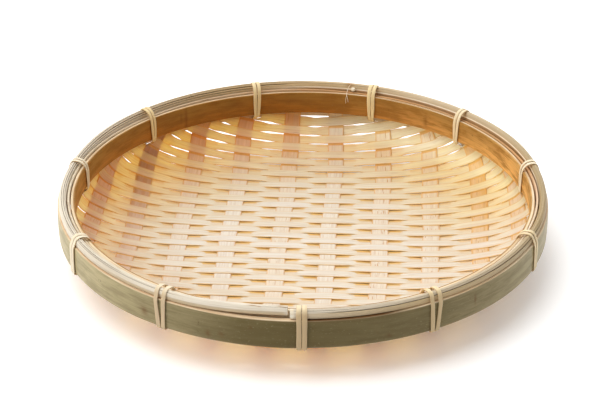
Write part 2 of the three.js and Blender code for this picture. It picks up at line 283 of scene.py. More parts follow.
def splitBamboo(name, look):
    material, tree, shader = startMaterial(name)
    grain = useGroup(tree, fibreGroup, read(tree, "fibre"), "Lines", look["lines"])
    tone = addNode(tree, "SeparateXYZ", {}, {0: read(tree, "tone")}).outputs
    colour = tinted(tree, tone[0], look["pale"], look["warm"])
    # the edge tint is painted shade, as strong as the painted shade each point carries
    masks = {"honey": tone[2], "streak": grain["Streaks"], "line": grain["Lines"],
             "dash": times(tree, grain["Dashes"], tone[1]), "edge": read(tree, "paintedShade")}
    colour = layered(tree, colour, look, masks)
    finishSurface(tree, shader, look, colour, grain["Lines"], grain["Height"], reliefDepths["split"])
    if look["glow"] > 0:
        # thin strips let light through, more up the wall and none where a hoop stands behind
        gold = addNode(tree, "Mix", {"data_type": "RGBA", "blend_type": "MULTIPLY"},
                       {0: 1.0, 6: colour, 7: (*look["glowTint"], 1)}).outputs[2]
        through = addNode(tree, "BsdfTranslucent", {}, {"Color": gold}).outputs[0]
        share = ranged(tree, read(tree, "wall"), 0, 1, look["glow"], look["wallGlow"])
        share = times(tree, share, sums(tree, "SUBTRACT", 1.0, read(tree, "skin")))
        mixed = addNode(tree, "MixShader", {}, {0: share, 1: shader.outputs[0], 2: through})
        tree.links.new(mixed.outputs[0], tree.nodes["Material Output"].inputs["Surface"])
    return material


def culmSkin(name, look):
    material, tree, shader = startMaterial(name)
    fibre = read(tree, "fibre")
    cloud, cloudShare = look["cloud"]
    marks = useGroup(tree, skinGroup, fibre, "Cloud", cloudShare)
    grain = useGroup(tree, fibreGroup, fibre, "Lines", look["lines"])
    tone = addNode(tree, "SeparateXYZ", {}, {0: read(tree, "tone")}).outputs
    colour = tinted(tree, tone[0], look["dark"], look["light"])
    colour = layered(tree, colour, look, {"upper": tone[1]})
    colour = tinted(tree, marks["Cloud"], colour, cloud)
    masks = {"line": grain["Lines"], "fleck": marks["Flecks"], "speck": marks["Specks"],
             "scratch": marks["Scratches"], "mark": tone[2]}
    colour = layered(tree, colour, look, masks)
    wood = tinted(tree, grain["Lines"], look["cut"], look["cutLine"])
    colour = tinted(tree, read(tree, "skin"), wood, colour)
    # painted shade darkens the cover's splits
    colour = tinted(tree, read(tree, "paintedShade"), colour, look["paintedShade"])
    height = sums(tree, "ADD", marks["Height"], grain["Height"])
    finishSurface(tree, shader, look, colour, marks["Cloud"], height, reliefDepths["skin"])
    return material


# Mat: the dish and the weave, with the strips' own small unevenness

dish = dict(
    flatRadius=48, kneeRise=10.5, kneeSlope=36, bendRadius=8.8, wallRadius=101, wallTop=24.82, lift=0.74,
    riseSteps=400, bendSteps=160)


def matProfile(values):
    # half section by length along it: flat, parabola to the knee, arc to the upright, straight wall
    slope, bend = math.radians(values["kneeSlope"]), values["bendRadius"]
    flat, rise, wall = values["flatRadius"], values["kneeRise"], values["wallRadius"]
    kneeX = wall - bend * (1 - math.sin(slope))
    footZ = rise + bend * math.cos(slope)
    turnX = kneeX - rise / math.tan(slope)
    share = np.linspace(0, 1, values["riseSteps"])
    riseX = (1 - share) ** 2 * flat + 2 * (1 - share) * share * turnX + share ** 2 * kneeX
    riseZ = share ** 2 * rise
    riseSlope = np.arctan2(share * rise, (1 - share) * (turnX - flat) + share * (kneeX - turnX))
    turn = np.linspace(slope, np.pi / 2, values["bendSteps"])[1:]
    radius = np.concatenate([[0], riseX, wall - bend + bend * np.sin(turn), [wall]])
    height = np.concatenate([[0], riseZ, footZ - bend * np.cos(turn), [values["wallTop"]]])
    slopes = np.concatenate([[0], riseSlope, turn, [np.pi / 2]])
    reach = np.concatenate([[0], np.cumsum(np.hypot(np.diff(radius), np.diff(height)))])
    return {"reach": reach, "radius": radius, "height": height, "slope": slopes, "end": reach[-1]}


profile = matProfile(dish)


def onMat(along, across, lift):
    # a flat place keeps its bearing and its distance along the dish; lift goes along the upward normal
    reach = np.hypot(along, across)
    radius, height, slope = (np.interp(reach, profile["reach"], profile[key])
                             for key in ("radius", "height", "slope"))
    tiny = 1e-6
    scale = (radius - lift * np.sin(slope)) / np.maximum(reach, tiny)
    scale = np.where(reach > tiny, scale, 1.0)
    return np.stack([along * scale, across * scale, dish["lift"] + height + lift * np.cos(slope)], -1)


# shifts: how far rows are drawn to the hoop, and from where to where
# dive, crest, the painted shade where a strip dives and the painted shadow line at a rib's lip: where each
# begins and is full, by the strip's height from -1 to 1
weave = dict(
    warpPlaces=[-94.2, -76, -54.7, -33.2, -10.5, 10.8, 33.4, 55.6, 77.6, 95.2], rows=44, rowPitch=4.691,
    backShift=(2.1, 66, 103), frontShift=(2.4, 90, 101), lift=0.36, firmness=1.2, sectionPoints=20,
    leastRings=24, clearSteps=33, slimSpan=(60, 86), dive=(0.08, 0.8), crest=(0.1, 0.95),
    diveShade=(-0.05, 0.6), lipShadow=(0.75, 0.5), fibreStart=4000, fibreShift=3)
lashingPlaces = [14, 47, 74, 106, 138, 170, 209, 241, 273, 303, 339]
matHoles = dict(start=105.8, stop=107.3, half=2.2)

# through: light let through the wall, more at the front, less at the right and more at the left; the wedge,
# dive, edge and lip values set painted shade in the weave, and brimPale paints the band under the inner hoop
# at the back right paler, as painted light against its shade
stripShade = dict(
    wall=(38, 102), wedgeShadow=(-0.06, 0.1), wedgeShadowEdge=1.05, diveShade=0.22, wallClear=0.7, edge=(0.84, 0.97),
    edgeRight=0.2, edgeDepth=0.85, lipShadowWall=(0.1, 0.55), brim=(90, 102), brimBearings=[8, 35, 72, 98],
    brimShares=[0, 1, 1, 0], brimPale=0.15, through=0.52, throughFront=0.48, throughRight=0.36,
    throughLeft=0.16)


def clearShare(innerU, innerV, outerU, outerV):
    # share of a strip's width, from its inner edge, that stays clear of the lashings' holes in the mat
    shares = np.linspace(0, 1, weave["clearSteps"])
    along = innerU[:, None] + shares * (outerU - innerU)[:, None]
    across = innerV[:, None] + shares * (outerV - innerV)[:, None]
    reach, bearing = np.hypot(along, across), np.arctan2(across, along)
    apart = bearing[..., None] - np.radians(lashingPlaces)
    apart = np.abs(np.angle(np.exp(1j * apart))).min(-1) * dish["wallRadius"]
    blocked = (reach > matHoles["start"]) & (reach < matHoles["stop"]) & (apart < matHoles["half"])
    blocked |= reach > profile["end"]
    return np.where(blocked.any(1), shares[np.maximum(blocked.argmax(1) - 1, 0)], 1.0)


def stripTones(flat, a, diveShade, lipShadow, values, depth):
    # by the place on the flat mat: painted shade along the edges and in the wedge where a strip dives, honey
    # tint, light let through and the back brim
    shade = stripShade
    reach, bearing = np.hypot(*flat), np.arctan2(flat[1], flat[0])
    around, right, front = np.degrees(bearing) % 360, np.cos(bearing), -np.sin(bearing)
    wall = smoothStep(*shade["wall"], reach)
    # painted wedge shadow on the side of a row that dives under a rib, over a softer painted shade along its
    # whole dive; both fade up the walls
    wedgeShadow = smoothStep(*shade["wedgeShadow"], a - shade["wedgeShadowEdge"] + values["wedgeShadow"] * diveShade[:, None])
    shaded = np.maximum(shade["diveShade"] * diveShade[:, None], wedgeShadow) * (1 - shade["wallClear"] * wall)
    # painted shade along a strip's edges for the gaps between strips, wider on the right wall, then the
    # painted shadow line where a rib dips past a row on the walls
    edgeFrom = shade["edge"][0] - shade["edgeRight"] * wall * np.clip(right, 0, 1)
    edge = np.maximum(shade["edgeDepth"] * smoothStep(edgeFrom, shade["edge"][1], np.abs(a)), shaded)
    edge = np.maximum(edge, lipShadow[:, None] * smoothStep(*shade["lipShadowWall"], wall))
    # the band under the inner hoop at the back right is painted paler, painted light against the hoop's
    # shade, and lets less light through; the honey tint up the walls, set by bearing, is partly the strips'
    # own deeper colour and partly painted glow of light coming through them
    brim = smoothStep(*shade["brim"], reach) * np.interp(around, shade["brimBearings"], shade["brimShares"])
    honey = wall * depth * np.interp(around, *values["golds"]) * (1 - shade["brimPale"] * brim)
    through = shade["through"] + shade["throughFront"] * np.clip(front, 0, 1) ** 2
    through = through - right * np.where(right > 0, shade["throughRight"], shade["throughLeft"])
    return edge, honey, wall * through, brim


def matStrip(place, number, depth, values, liftAt):
    # flat oval carried along a straight flat line and bent onto the dish; its outer edge clears the lashings
    seed, alongWarp = values["seed"] + 10 * number, values["alongWarp"]
    draw = np.random.default_rng(seed)
    half = values["width"] / 2 * draw.uniform(1 - values["widthJitter"], 1 + values["widthJitter"])
    limit = math.sqrt(profile["end"] ** 2 - min(abs(place) + half, profile["end"] - 1) ** 2)
    count = max(int(2 * limit / values["step"]), weave["leastRings"])
    along = np.linspace(-limit, limit, count)
    middle = place + wander(along, *values["stray"], seed + 1)
    lift = liftAt(along, number)
    up = lift / np.abs(lift).max()
    # the dive share widens the strip; from it comes the painted shade where a strip dives under its
    # neighbours, and the lip share paints a shadow line where a rib goes down past a row
    dive, diveShade = smoothStep(*weave["dive"], -up), smoothStep(*weave["diveShade"], -up)
    lipShadow = values["lipShadow"] * smoothStep(*weave["lipShadow"], up) * (np.gradient(lift) < 0)
    halves = half * (1 + wander(along, *values["widthWave"], seed + 2))
    halves = halves - values["slim"] * smoothStep(*weave["slimSpan"], middle)
    halves += values["tuck"] * dive + values["swell"] * smoothStep(*weave["crest"], up)
    side = math.copysign(1, place)
    inner, outer = middle - side * halves, middle + side * halves
    clear = clearShare(inner, along, outer, along) if alongWarp else clearShare(along, inner, along, outer)
    closed = np.flatnonzero(clear < values["leastShare"])
    low = closed[closed < count // 2].max(initial=-1) + 1
    high = closed[closed >= count // 2].min(initial=count)
    clear = np.minimum.reduce([np.roll(clear, shift) for shift in (-1, 0, 1)])
    rows = (along, middle, inner, outer, lift, diveShade, lipShadow, clear)
    along, middle, inner, outer, lift, diveShade, lipShadow, clear = (row[low:high] for row in rows)
    outer = inner + np.clip(clear, values["leastShare"], 1) * (outer - inner)
    a, b = flatOval(weave["sectionPoints"], values["squareness"])
    spread = (inner + outer)[:, None] / 2 + a * (side * (outer - inner) / 2)[:, None]
    roll = wander(along, *values["roll"], seed + 3)
    thick = values["thickness"] / 2 * (1 + wander(along, *values["thickWave"], seed + 4))
    lift = (lift + wander(along, *values["heave"], seed + 5))[:, None]
    lift = lift + b * thick[:, None] + a * roll[:, None]
    run = np.broadcast_to(along[:, None], spread.shape)
    flat = (spread, run) if alongWarp else (run, spread)
    start = draw.uniform(0, weave["fibreStart"])
    fibre = np.stack([run + start, spread - middle[:, None] + weave["fibreShift"] * draw.uniform(), lift], -1)
    edge, honey, wall, brim = stripTones(flat, a, diveShade, lipShadow, values, depth)
    shades = draw.uniform(0, 1, 2)
    tone = np.stack(np.broadcast_arrays(shades[0], shades[1], honey), -1)
    return {"points": onMat(*flat, lift), "fibre": fibre, "tone": tone, "paintedShade": edge[..., None],
            "wall": wall[..., None], "skin": brim[..., None]}


# Warps: flat ribs from front to back, pressed down a little by every second row
# widthWave, stray, roll, heave and thickWave: size and length of a waviness; golds: bearings and their shares
# depths, lined, warmths, clears and finishes: one for each rib from left to right

warpValues = dict(
    width=7.6, thickness=0.5, widthJitter=0.03, widthWave=(0.012, 40), stray=(0.5, 90), roll=(0.03, 35),
    heave=(0.03, 60), thickWave=(0.08, 50), squareness=7, leastShare=0.15, slim=0, tuck=0, swell=0,
    wedgeShadow=0, lipShadow=1, step=0.35, press=0.1, honeyShare=0.95, alongWarp=True, seed=100,
    golds=([0, 45, 90, 132, 180, 225, 330, 360], [0.9, 1, 0.9, 0.9, 0.65, 0.4, 0.5, 0.9]),
    depths=[0.65, 1.5, 0.85, 0.65, 0.8, 0.4, 0.6, 0.7, 1.1, 0.6],
    lined=[0.5, 0.5, 0.3, 0.1, 0.4, 0.3, 1, 0.9, 1, 0.6],
    warmths=[0.5, 0.6, 0.4, 0.3, 1, 0.5, 0.9, 0.6, 0.6, 0.5], clears=[0.9, 0.4, 0.9, 1, 1, 1, 1, 1, 1, 1],
    finishes=["warp", "deepWarp", "warp", "warp", "warp", "goldWarp", "goldWarp", "goldWarp", "warp",
              "warp"])
# edge: colour and share of the painted shade at the ribs' edges, in the gaps and at their lips
warpLook = dict(
    pale=(0.97, 0.935, 0.86), warm=(0.95, 0.85, 0.69), streak=((0.92, 0.82, 0.68), 0.3),
    line=((0.6, 0.36, 0.16), 0.2), dash=((0.7, 0.41, 0.17), 1), edge=((0.84, 0.45, 0.08), 0.85),
    lines=1.35, smooth=0.42, coarse=0.6, gloss=0.4, relief=0.5, glow=0.24, wallGlow=0.7,
    glowTint=(1, 0.91, 0.55))
warpHoneys = dict(warp=(0.88, 0.52, 0.13), deepWarp=(0.64, 0.27, 0.06), goldWarp=(0.93, 0.66, 0.24))


def rowPlace(row):
    # even rows, opening out towards the back, the first two drawn to the front hoop
    place = (row - (weave["rows"] - 1) / 2) * weave["rowPitch"]
    (back, *backRange), (front, *frontRange) = weave["backShift"], weave["frontShift"]
    return place + back * smoothStep(*backRange, place) - front * smoothStep(*frontRange, -place)


rowPlaces = rowPlace(np.arange(weave["rows"]))


def warpLift(along, rib):
    # up where a row passes below, down where it passes above
    row = np.interp(along, rowPlaces, np.arange(weave["rows"]))
    return -warpValues["press"] * np.cos(np.pi * (row + rib))


warpBamboos = {name: splitBamboo(name + "Bamboo", {**warpLook, "honey": (honey, warpValues["honeyShare"])})
               for name, honey in warpHoneys.items()}
for index, place in enumerate(weave["warpPlaces"]):
    depth, lined, warmth, clear, finish = (warpValues[key][index] for key in
                                           ("depths", "lined", "warmths", "clears", "finishes"))
    shell = matStrip(place, index, depth, warpValues, warpLift)
    shell["tone"][..., 0], shell["tone"][..., 1] = warmth, lined
    shell["wall"] = shell["wall"] * clear
    putPiece(f"rib_{index + 1:02d}", [shell], warpBamboos[finish], f"warp_{index + 1:02d}")
print("ribs made:", len(weave["warpPlaces"]))


# Wefts: rows over and under the ribs by turns

weftValues = dict(
    width=4.58, thickness=0.42, widthJitter=0.035, widthWave=(0.03, 40), stray=(0.22, 90), roll=(0.05, 35),
    heave=(0.04, 60), thickWave=(0.08, 50), squareness=4, leastShare=0.12, slim=0.22, tuck=0.45,
    swell=0.32, wedgeShadow=0.85, lipShadow=0, step=0.7, depth=1, alongWarp=False, seed=1000,
    golds=([0, 10, 25, 50, 90, 132, 160, 185, 225, 330, 360],
           [0.04, 0.3, 0.95, 0.9, 0.5, 1, 0.65, 0.2, 0.2, 0.04, 0.04]))
# edge: colour and share of the painted shade at the rows' edges and in the wedges where they dive
weftLook = dict(
    pale=(0.94, 0.91, 0.85), warm=(0.92, 0.86, 0.74), streak=((0.9, 0.8, 0.62), 0.45),
    line=((0.74, 0.54, 0.28), 0.36), dash=((0.5, 0.28, 0.11), 0.3), edge=((0.87, 0.54, 0.13), 0.95),
    honey=((0.99, 0.83, 0.35), 0.9), lines=1.5, smooth=0.4, coarse=0.58, gloss=0.4, relief=0.4, glow=0.24,
    wallGlow=0.7, glowTint=(1, 0.91, 0.55))


def weftLift(along, row):
    # between two ribs a cosine from one side of the mat to the other, flattened over the ribs
    ribs, firm = np.array(weave["warpPlaces"]), weave["firmness"]
    before = np.clip(np.searchsorted(ribs, along) - 1, 0, len(ribs) - 2)
    share = np.clip((along - ribs[before]) / (ribs[before + 1] - ribs[before]), 0, 1)
    wave = np.where((before + row) % 2 == 0, 1, -1) * np.cos(np.pi * share)
    return weave["lift"] * np.tanh(firm * wave) / math.tanh(firm)


weftBamboo = splitBamboo("weftBamboo", weftLook)
weftNodes = sorted(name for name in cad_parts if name.startswith("weft_"))
for node in weftNodes:
    # a node's name ends with the numbers of its one or two rows, counted from 1
    numbers = node.removeprefix("weft_")
    rows = [int(number) - 1 for number in numbers.split("_")]
    shells = [matStrip(rowPlaces[row], row, weftValues["depth"], weftValues, weftLift) for row in rows]
    putPiece("row_" + numbers, shells, weftBamboo, node)
print("rows made:", len(weftNodes))


# Rim pieces: a section of radius and height carried round the basket; bearings go round from the right

rimScale = 100  # millimetres of fibre for each radian round the rim
frontSpan = (236, 256, 330, 350)  # bearings where the tops of the inner hoop and the filler dip at the front


def onRim(angle, radius, height):
    return np.stack([radius * np.cos(angle), radius * np.sin(angle), height], -1)


def rimWave(turn, wave, seed):
    # waviness of a size and length in millimetres
    return wander(turn * rimScale, *wave, seed)[:, None]


def frontShare(degrees):
    return between(frontSpan, np.mod(degrees, 360))


def roundedBar(width, height, rounding, wideSteps, highSteps, cornerSteps=4):
    # corners of a quarter turn joined by straight faces, going round from the outer face upwards
    turns = np.linspace(0, np.pi / 2, cornerSteps + 1)
    x, y = width / 2 - rounding, height / 2 - rounding
    high = np.linspace(-y, y, highSteps + 1)[1:-1]
    wide = np.linspace(-x, x, wideSteps + 1)[1:-1]
    quarters = ((1, 1, 0), (-1, 1, np.pi / 2), (-1, -1, np.pi), (1, -1, -np.pi / 2))
    corners = [(sx * x + rounding * np.cos(turns + start), sy * y + rounding * np.sin(turns + start))
               for sx, sy, start in quarters]
    across = np.concatenate([np.full(high.shape, width / 2), corners[0][0], -wide, corners[1][0],
                             np.full(high.shape, -width / 2), corners[2][0], wide, corners[3][0]])
    upward = np.concatenate([high, corners[0][1], np.full(wide.shape, height / 2), corners[1][1],
                             -high, corners[2][1], np.full(wide.shape, -height / 2), corners[3][1]])
    return across, upward


# Hoops: one splint each, bent to a ring
# marks: bearing, height above the middle, half length in degrees, half height and strength
# bark: bearings where skin shows along the top; faded: bearing, half length and strength of a plainer part
# tones: bearings and paleness, darkest on the outer hoop's front and the inner hoop's back, partly painted
# shade on the faces turned away from the lamps behind; out: 1 for skin on the outside, -1 on the inside

hoopValues = dict(
    lapAngle=26, tip=0.3, ramp=3, steps=720, faces=(6, 10), skinFade=0.2, edgeRoom=0.02, barkTop=(0.9, 1),
    barkMark=0.9, radiusWave=(0.12, 300), heightWave=(0.16, 240), shadeWave=(2, 70), faded=(15, 16, 0.6))
outerHoop = dict(
    hoopValues, inner=102.6, outer=105, bottom=15.52, top=28.12, lapFrom=273.2, rounding=0.42, edge=0.5,
    skinFrom=0.78, frontDip=0, crown=0.22, out=1, seed=31, bark=(271, 273, 290, 302),
    marks=[(236.5, -1.5, 0.9, 1.8, 0.8), (252.5, -3.2, 0.5, 1, 0.9), (255.5, -2.4, 0.35, 0.8, 0.8),
           (314, 1, 0.35, 2.2, 0.7), (262, 2.5, 0.3, 0.6, 0.6), (292, -3.5, 0.5, 0.7, 0.6),
           (40, 0, 0.6, 6, 0.6), (118, 0, 0.6, 6, 0.6)],
    tones=([0, 90, 180, 215, 250, 260, 270, 300, 330, 360],
           [0.71, 0.38, 0.86, 0.83, 0.3, 0.1, 0.06, 0.19, 0.51, 0.71]))
innerHoop = dict(
    hoopValues, inner=97.7, outer=99.4, bottom=19.62, top=29.92, lapFrom=48, rounding=0.36, edge=0.02,
    skinFrom=0.1, frontDip=0.4, crown=0.12, out=-1, seed=47, bark=(0, 2, -12, 0),
    marks=[(127, 0, 0.45, 6, 0.75), (128.4, 0.5, 0.3, 3, 0.5), (57.5, -1, 0.5, 2.6, 0.7),
           (96, 1.2, 3, 1.1, 0.5), (104, -1.6, 4, 1, 0.45), (84, 0.4, 3, 0.9, 0.4),
           (112, 1.8, 2.5, 0.9, 0.5), (270, 0, 0.5, 6, 0.7)],
    tones=([0, 30, 90, 150, 180, 270, 360], [1, 0.95, 0.08, 0.17, 0.32, 0.5, 1]))
hoopLook = dict(paintedShade=(0.1, 0.06, 0.03), lines=1.6, relief=0.28)
outerLook = dict(
    hoopLook, dark=(0.119, 0.084, 0.0235), light=(0.69, 0.58, 0.325), upper=((0.2, 0.16, 0.06), 0),
    cloud=((0.115, 0.082, 0.028), 0.33), mark=((0.15, 0.055, 0.015), 0.8), line=((0.12, 0.09, 0.03), 0.2),
    fleck=((0.46, 0.38, 0.2), 0.3), speck=((0.08, 0.045, 0.015), 0.7), scratch=((0.5, 0.42, 0.24), 0.4),
    cut=(0.86, 0.7, 0.48), cutLine=(0.68, 0.46, 0.26), smooth=0.38, coarse=0.55, gloss=0.13)
innerLook = dict(
    hoopLook, dark=(0.43, 0.135, 0.006), light=(0.97, 0.53, 0.16), upper=((0.365, 0.195, 0.042), 0.75),
    cloud=((0.31, 0.13, 0.02), 0.7), mark=((0.18, 0.07, 0.012), 0.8), line=((0.22, 0.1, 0.025), 0.22),
    fleck=((0.55, 0.33, 0.13), 0.2), speck=((0.13, 0.06, 0.02), 0.5), scratch=((0.56, 0.35, 0.15), 0.25),
    cut=(0.92, 0.76, 0.52), cutLine=(0.7, 0.48, 0.26), smooth=0.42, coarse=0.58, gloss=0.12)


def markMask(marks, degrees, height):
    # soft oval spots, the strongest where they meet
    mask = np.zeros(np.broadcast(degrees, height).shape)
    for bearing, middle, length, tall, strength in marks:
        away = (np.mod(degrees - bearing + 180, 360) - 180) / length
        mask = np.maximum(mask, strength * np.exp(-away ** 2 - ((height - middle) / tall) ** 2))
    return mask


def hoopShell(values):
    # bar bent to a ring and lapped: its first end thins to the outer face, its last end to the inner face
    lap, ramp = math.radians(values["lapAngle"]), math.radians(values["ramp"])
    turn = np.linspace(0, 2 * np.pi + lap, values["steps"])
    thick, tip = values["outer"] - values["inner"], values["tip"]
    first = np.interp(turn, [0, lap, lap + ramp], [thick - tip, tip, 0])
    last = np.interp(turn - 2 * np.pi, [-ramp, 0, lap], [0, tip, thick - tip])
    near = values["inner"] + np.where(turn < np.pi, first, 0)
    far = values["outer"] - np.where(turn > np.pi, last, 0)
    half = (values["top"] - values["bottom"]) / 2
    across, upward = roundedBar(2.0, 2 * half, values["rounding"], *values["faces"])
    angle = math.radians(values["lapFrom"]) + turn
    middle, halfThick = (near + far)[:, None] / 2, (far - near)[:, None] / 2
    facing, seed = values["out"] * across, values["seed"]
    bulge = values["out"] * values["crown"] * (1 - (upward / half) ** 2) * (facing > 0)
    radius = middle + halfThick * across + bulge + rimWave(turn, values["radiusWave"], seed)
    height = (values["bottom"] + values["top"]) / 2 + upward + rimWave(turn, values["heightWave"], seed + 1)
    height = height - values["frontDip"] * frontShare(np.degrees(angle))[:, None] * (upward > 0)
    angles = np.broadcast_to(angle[:, None], radius.shape)
    around = np.degrees(angles) % 360
    edge = half + values["edgeRoom"]
    skin = smoothStep(values["skinFrom"], values["skinFrom"] + values["skinFade"], facing)
    skin = skin * smoothStep(edge, edge - values["edge"], np.abs(upward))
    bark = between(values["bark"], around) * smoothStep(*values["barkTop"], upward / half)
    skin = np.maximum(skin, bark)
    fibre = np.stack([angles * rimScale, np.broadcast_to(upward, radius.shape), radius - middle], -1)
    place, length, strength = values["faded"]
    upper = smoothStep(-half, half, upward + rimWave(turn, values["shadeWave"], seed + 2))
    upper = upper * (1 - strength * np.exp(-((around - place) / length) ** 2))
    marks = np.maximum(markMask(values["marks"], around, upward), values["barkMark"] * bark)
    tone = np.stack(np.broadcast_arrays(np.interp(around, *values["tones"]), upper, marks), -1)
    return {"points": onRim(angles, radius, height), "fibre": fibre, "tone": tone, "skin": skin[..., None]}


for side, values, look in (("outer", outerHoop, outerLook), ("inner", innerHoop, innerLook)):
    skin, node = culmSkin(side + "Skin", look), side + "_hoop"
    putPiece(side + "_ring", [hoopShell(values)], skin, node)
print("hoops made")


# Cover: half-round splint with lengthwise splits that come and go round the rim
# spans are bearings, and those over 360 carry on round from the ends; tones and browns: bearings and shares
# places over the dome go in degrees from its outer side to its inner, also in the marks

cover = dict(
    inner=101.15, outer=104.3, bottom=28.3, side=29.5, top=31.92, squareness=2.3, ends=270.2, endGap=1,
    endLift=1, liftSpan=(603, 629), endShift=1.1, shiftSpan=(600, 629), endCut=(1.7, 0.9), backRise=1.8,
    backSpan=(355, 388, 508, 542), rightSpan=(352, 372, 450, 466), cutEdge=(157, 160),
    recessEdge=(169, 171), recess=0.9, frontRight=(270, 273, 300, 335), lowRight=(34, 28), rightPale=0.04,
    frontLeft=(215, 232, 269, 270), lowLeft=(14, 2), leftDark=0.25, lowBrown=0.4, steps=640,
    domeSpan=(-8, 188), domePoints=110, seed=61, swayWave=(3, 160), swellWave=(0.03, 180),
    strayWave=(0.15, 260), splitFade=12, splitShade=(0.4, 0.95), splitShadeDepth=0.36, fibreStep=0.04,
    footFibre=(7.5, 12), footPlaces=(400, -20),
    foot=[[-1, 0.45], [-0.9, 0.12], [-0.72, 0], [0.72, 0], [0.9, 0.12], [1, 0.45]],
    marks=[(80.6, 116, 0.9, 34, 1), (262.2, 70, 0.9, 9, 0.9), (263.6, 58, 0.5, 8, 0.9),
           (268.3, 82, 0.6, 12, 1), (269.2, 62, 0.5, 8, 1)],
    # tones: the back is made paler, partly painted light lifting the shade on the inner side of the dome
    # there
    tones=([0, 15, 30, 60, 90, 120, 150, 180, 190, 230, 250, 269, 272, 300, 330, 345, 360],
           [0, 0.15, 0.34, 0.62, 0.7, 0.66, 0.95, 0.93, 0.85, 0.75, 0.85, 0.95, 0.72, 0.5, 0.27, 0, 0]),
    browns=([0, 60, 90, 120, 150, 170, 275, 300, 320, 345, 360],
            [0.3, 0.38, 0.65, 0.58, 0.15, 0, 0, 0.2, 0.25, 0.4, 0.3]))
# splits: place over the dome, width in degrees, depth in millimetres, and from where to where round the rim
coverSplits = [(74, 4.6, 0.42, 118, 236), (104, 4.8, 0.44, 86, 240), (136, 5.0, 0.44, 90, 228),
               (52, 3.6, 0.28, 196, 252), (33, 5.0, 0.5, 271.5, 352), (64, 2.6, 0.16, 290, 380),
               (104, 2.6, 0.14, 330, 400), (124, 2.6, 0.18, 60, 104), (114, 2.6, 0.14, 242, 268),
               (90, 3.6, 0.3, 256, 300), (63, 3.4, 0.26, 256, 292), (158, 3.2, 0.30, 98, 178)]
coverLook = dict(
    dark=(0.35, 0.285, 0.18), light=(0.97, 0.88, 0.73), upper=((0.62, 0.39, 0.12), 1),
    cloud=((0.5, 0.38, 0.22), 0.14), mark=((0.42, 0.21, 0.07), 0.85), line=((0.36, 0.25, 0.13), 0.2),
    fleck=((0.88, 0.77, 0.58), 0.4), speck=((0.16, 0.09, 0.04), 0.6), scratch=((0.2, 0.13, 0.06), 0.5),
    cut=(1, 0.92, 0.75), cutLine=(0.92, 0.78, 0.55), paintedShade=(0.1, 0.06, 0.028), lines=1.7, smooth=0.42,
    coarse=0.62, gloss=0.15, relief=0.45)


def coverRise(degrees):
    # the back half of the cover stands a little higher than the front
    turned = np.mod(degrees - cover["ends"], 360) + cover["ends"]
    return between(cover["backSpan"], turned) * cover["backRise"]


def coverCuts(values, dome, degrees):
    # each split is a bell across the dome that fades at both its ends; its deeper part is painted dark,
    # painted shade in the crack
    split, splitShade = np.zeros((2, len(degrees), len(dome)))
    fade = values["splitFade"]
    for place, width, depth, start, stop in coverSplits:
        span = np.array([start, start + fade, stop - fade, stop])
        cut = np.exp(-((dome - place) / width) ** 2) * (between(span, degrees) + between(span + 360, degrees))
        split = np.maximum(split, depth * cut)
        splitShade = np.maximum(splitShade, smoothStep(*values["splitShade"], cut) * min(depth / values["splitShadeDepth"], 1.0))
    return split, splitShade


